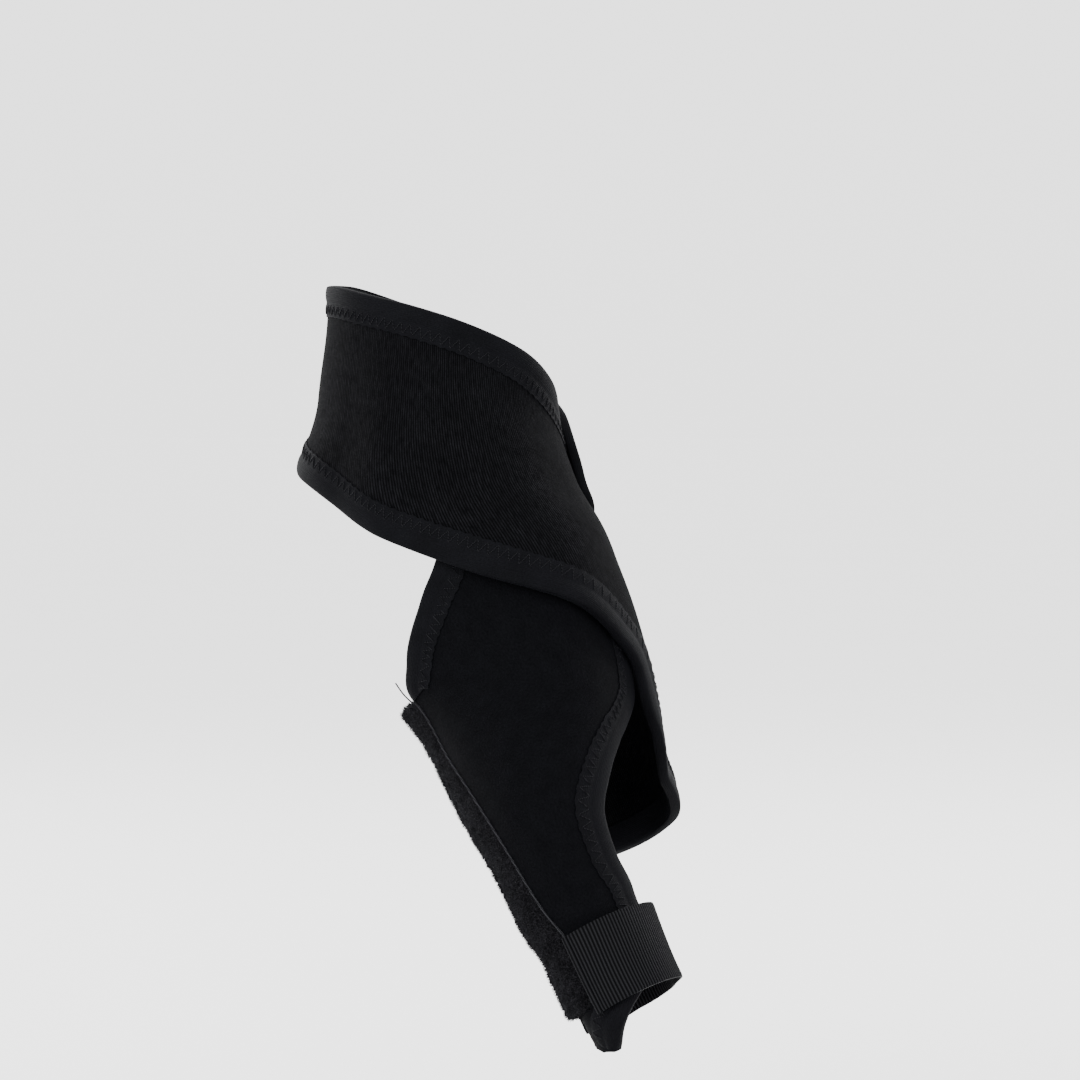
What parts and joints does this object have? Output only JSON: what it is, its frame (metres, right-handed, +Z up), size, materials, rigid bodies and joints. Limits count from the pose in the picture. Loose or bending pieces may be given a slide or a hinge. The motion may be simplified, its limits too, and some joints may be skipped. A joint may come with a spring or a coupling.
{
  "type": "bunion splint",
  "caption": "Neoprene ankle wrap that crosses the foot to a padded bar along its inner edge, with a panel and a webbing loop for the big toe.",
  "frame": {"origin": "centre of the ankle opening, on the ankle's upright axis at the height of the middle of the wrap", "axes": "+Z up the leg, +X towards the toes, -Y towards the inner side of a left foot"},
  "size_m": [0.146, 0.0936, 0.2289],
  "materials": {
    "knitted_neoprene": "matt",
    "smooth_neoprene": "matt",
    "plush_loop": "matt",
    "ribbed_webbing": "matt",
    "binding_tape": "satin",
    "seam_cord": "satin",
    "hook_pad": "matt"
  },
  "bodies": {
    "root": {"ankle_wrap": "knitted_neoprene", "foot_panel": "smooth_neoprene", "side_splint": "plush_loop", "toe_strap": "ribbed_webbing", "wrap_upper_binding": "binding_tape", "wrap_lower_binding": "binding_tape", "panel_front_binding": "binding_tape", "panel_heel_binding": "binding_tape", "seam_cord": "seam_cord", "toe_hook_tab": "hook_pad"}
  },
  "joints": []
}
